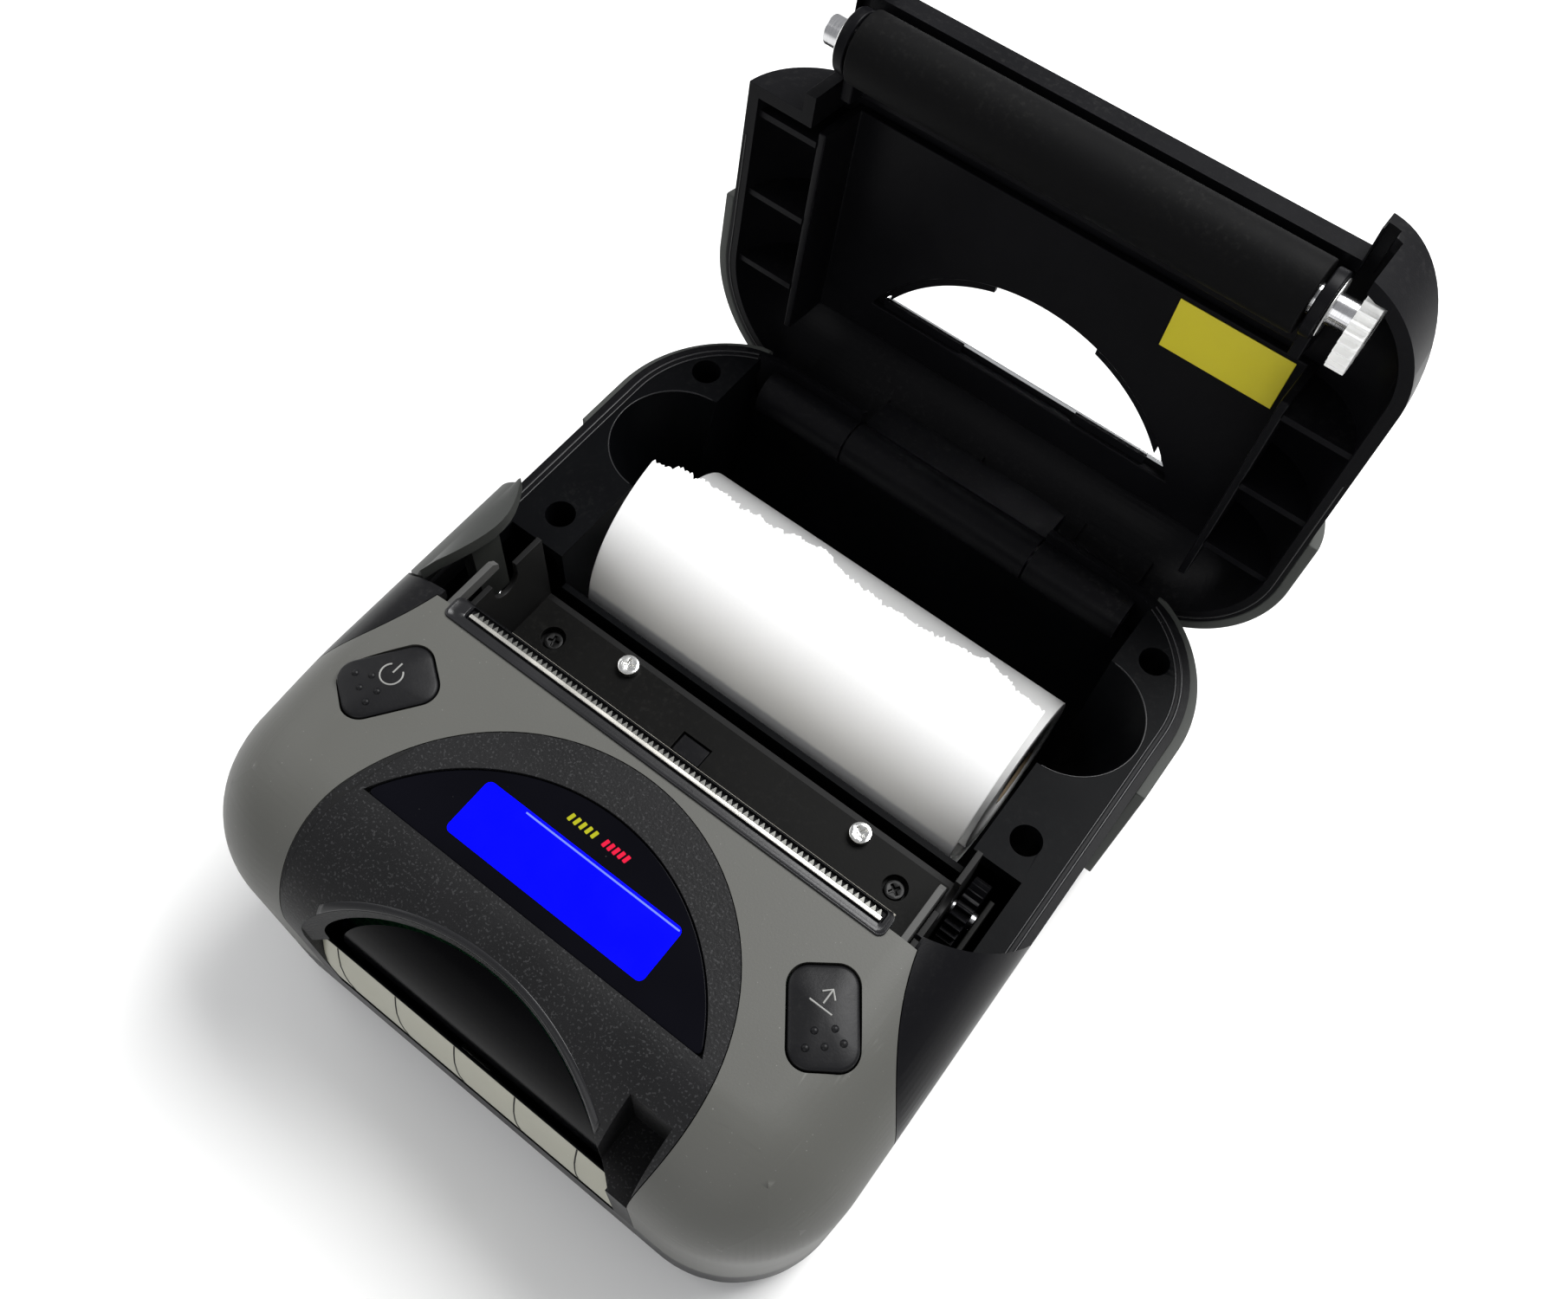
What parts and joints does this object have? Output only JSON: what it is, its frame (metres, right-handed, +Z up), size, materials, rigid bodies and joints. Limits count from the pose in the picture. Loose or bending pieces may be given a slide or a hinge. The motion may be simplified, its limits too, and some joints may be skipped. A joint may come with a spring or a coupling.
{
  "type": "receipt printer",
  "caption": "Portable receipt printer with hinged lid open: drop-in paper bucket, platen in the lid, tear bar, blue display, keys and a card slot.",
  "frame": {"origin": "centre of the underside, on the surface the printer stands on", "axes": "+X to the printer's right seen from its front, +Y to the rear where the hinge is, +Z up"},
  "size_m": [0.1206, 0.1629, 0.1148],
  "materials": {
    "case_black": "fine grained moulding",
    "pad_rubber": "matt",
    "screw_steel": "zinc plated",
    "bumper_grey": "soft matt",
    "cover_grey": "soft-touch paint",
    "bezel_black": "fine spark texture",
    "lens_dark": "clear over black print",
    "lcd_blue": "lit blue",
    "indicator_green": "clear domes",
    "board_green": "solder mask",
    "key_black": "soft moulded",
    "gloss_black": "polished",
    "slot_grey": "satin",
    "steel": "rolled sheet",
    "guide_black": "satin black",
    "screw_bright": "nickel plated",
    "head_ceramic": "glazed",
    "heatsink_aluminium": "extruded",
    "blade_steel": "bright",
    "motor_steel": "plated",
    "pinion_brass": "cut",
    "gear_white": "acetal",
    "battery_wrap": "shrink film",
    "paper_white": "thermal coated",
    "core_card": "wound",
    "window_clear": "clear plastic",
    "label_yellow": "plain sticker",
    "bush_metal": "turned",
    "shaft_steel": "ground",
    "platen_rubber": "ground"
  },
  "bodies": {
    "base": {"bottom_case": "case_black", "battery_door": "case_black", "antislip_pads": "pad_rubber", "inner_frame": "case_black", "case_screws": "screw_steel", "rear_bumper_left": "bumper_grey", "rear_bumper_right": "bumper_grey", "front_cover": "cover_grey", "display_bezel": "bezel_black", "display_lens": "lens_dark", "lcd_module": "lcd_blue", "indicator_lights": "indicator_green", "display_board": "board_green", "key_switches": "case_black", "card_slot_block": "gloss_black", "card_slot_wall": "slot_grey", "magnetic_head": "steel", "release_spring": "steel", "print_chassis": "guide_black", "chassis_screws": "screw_steel", "guide_plate": "guide_black", "guide_plate_screws": "screw_bright", "paper_sensor": "case_black", "thermal_head": "head_ceramic", "head_heatsink": "heatsink_aluminium", "head_springs": "steel", "tear_bar_holder": "case_black", "tear_bar": "blade_steel", "drive_motor": "motor_steel", "idler_axles": "steel", "gear_guard": "guide_black", "main_board": "board_green", "board_screws": "screw_steel", "battery_pack": "battery_wrap", "data_port": "steel", "charging_socket": "case_black", "port_cover": "pad_rubber", "hinge_pin": "steel"},
    "lid": {"lid_shell": "case_black", "lid_inner_panel": "case_black", "lid_window": "window_clear", "lid_bumper_left": "bumper_grey", "lid_bumper_right": "bumper_grey", "blank_label": "label_yellow", "platen_holder": "case_black", "platen_bushes": "bush_metal"},
    "platen": {"platen_shaft": "shaft_steel", "platen_roller": "platen_rubber", "platen_gear": "gear_white"},
    "roll": {"paper_roll": "paper_white", "paper_core": "core_card"},
    "release": {"release_button": "bumper_grey"},
    "latch_bar": {"latch": "steel"},
    "power_key": {"power_button": "key_black"},
    "feed_key": {"feed_button": "key_black"},
    "motor_rotor": {"motor_pinion": "pinion_brass"},
    "upper_idler": {"idler_gear_upper": "case_black"},
    "lower_idler": {"idler_gear_lower": "case_black"}
  },
  "joints": [
    {"name": "lid_hinge", "type": "hinge", "parent": "base", "child": "lid", "pos_m": [0, 0.0625, 0.0392], "axis": [1, 0, 0], "range_deg": [0, 98]},
    {"name": "platen_spin", "type": "hinge", "parent": "lid", "child": "platen", "pos_m": [0, 0.0833, 0.10459], "axis": [1, 0, 0], "continuous": true},
    {"name": "roll_spin", "type": "hinge", "parent": "base", "child": "roll", "pos_m": [0, 0.03365, 0.0295], "axis": [1, 0, 0], "continuous": true},
    {"name": "release_press", "type": "slide", "parent": "base", "child": "release", "axis": [0, 0, -1], "range_m": [0, 0.002], "stiffness_N_per_m": 500, "deforming": ["release_spring"]},
    {"name": "latch_swing", "type": "hinge", "parent": "base", "child": "latch_bar", "pos_m": [0, -0.016, 0.0375], "axis": [1, 0, 0], "range_deg": [0, 14.1]},
    {"name": "power_press", "type": "slide", "parent": "base", "child": "power_key", "axis": [0, 0, -1], "range_m": [0, 0.0008], "stiffness_N_per_m": 1000},
    {"name": "feed_press", "type": "slide", "parent": "base", "child": "feed_key", "axis": [0, 0, -1], "range_m": [0, 0.0008], "stiffness_N_per_m": 1000},
    {"name": "motor_spin", "type": "hinge", "parent": "base", "child": "motor_rotor", "pos_m": [0, -0.01527, 0.0248], "axis": [1, 0, 0], "continuous": true},
    {"name": "lower_idler_spin", "type": "hinge", "parent": "base", "child": "lower_idler", "pos_m": [0, -0.00672, 0.02791], "axis": [1, 0, 0], "continuous": true},
    {"name": "upper_idler_spin", "type": "hinge", "parent": "base", "child": "upper_idler", "pos_m": [0, -0.00067, 0.03839], "axis": [1, 0, 0], "continuous": true}
  ],
  "couplings": [
    {"joint": "latch_swing", "follows": "release_press", "rad_per_m": 122.17},
    {"joint": "lower_idler_spin", "follows": "motor_spin", "ratio": -0.5},
    {"joint": "upper_idler_spin", "follows": "motor_spin", "ratio": 0.5}
  ]
}
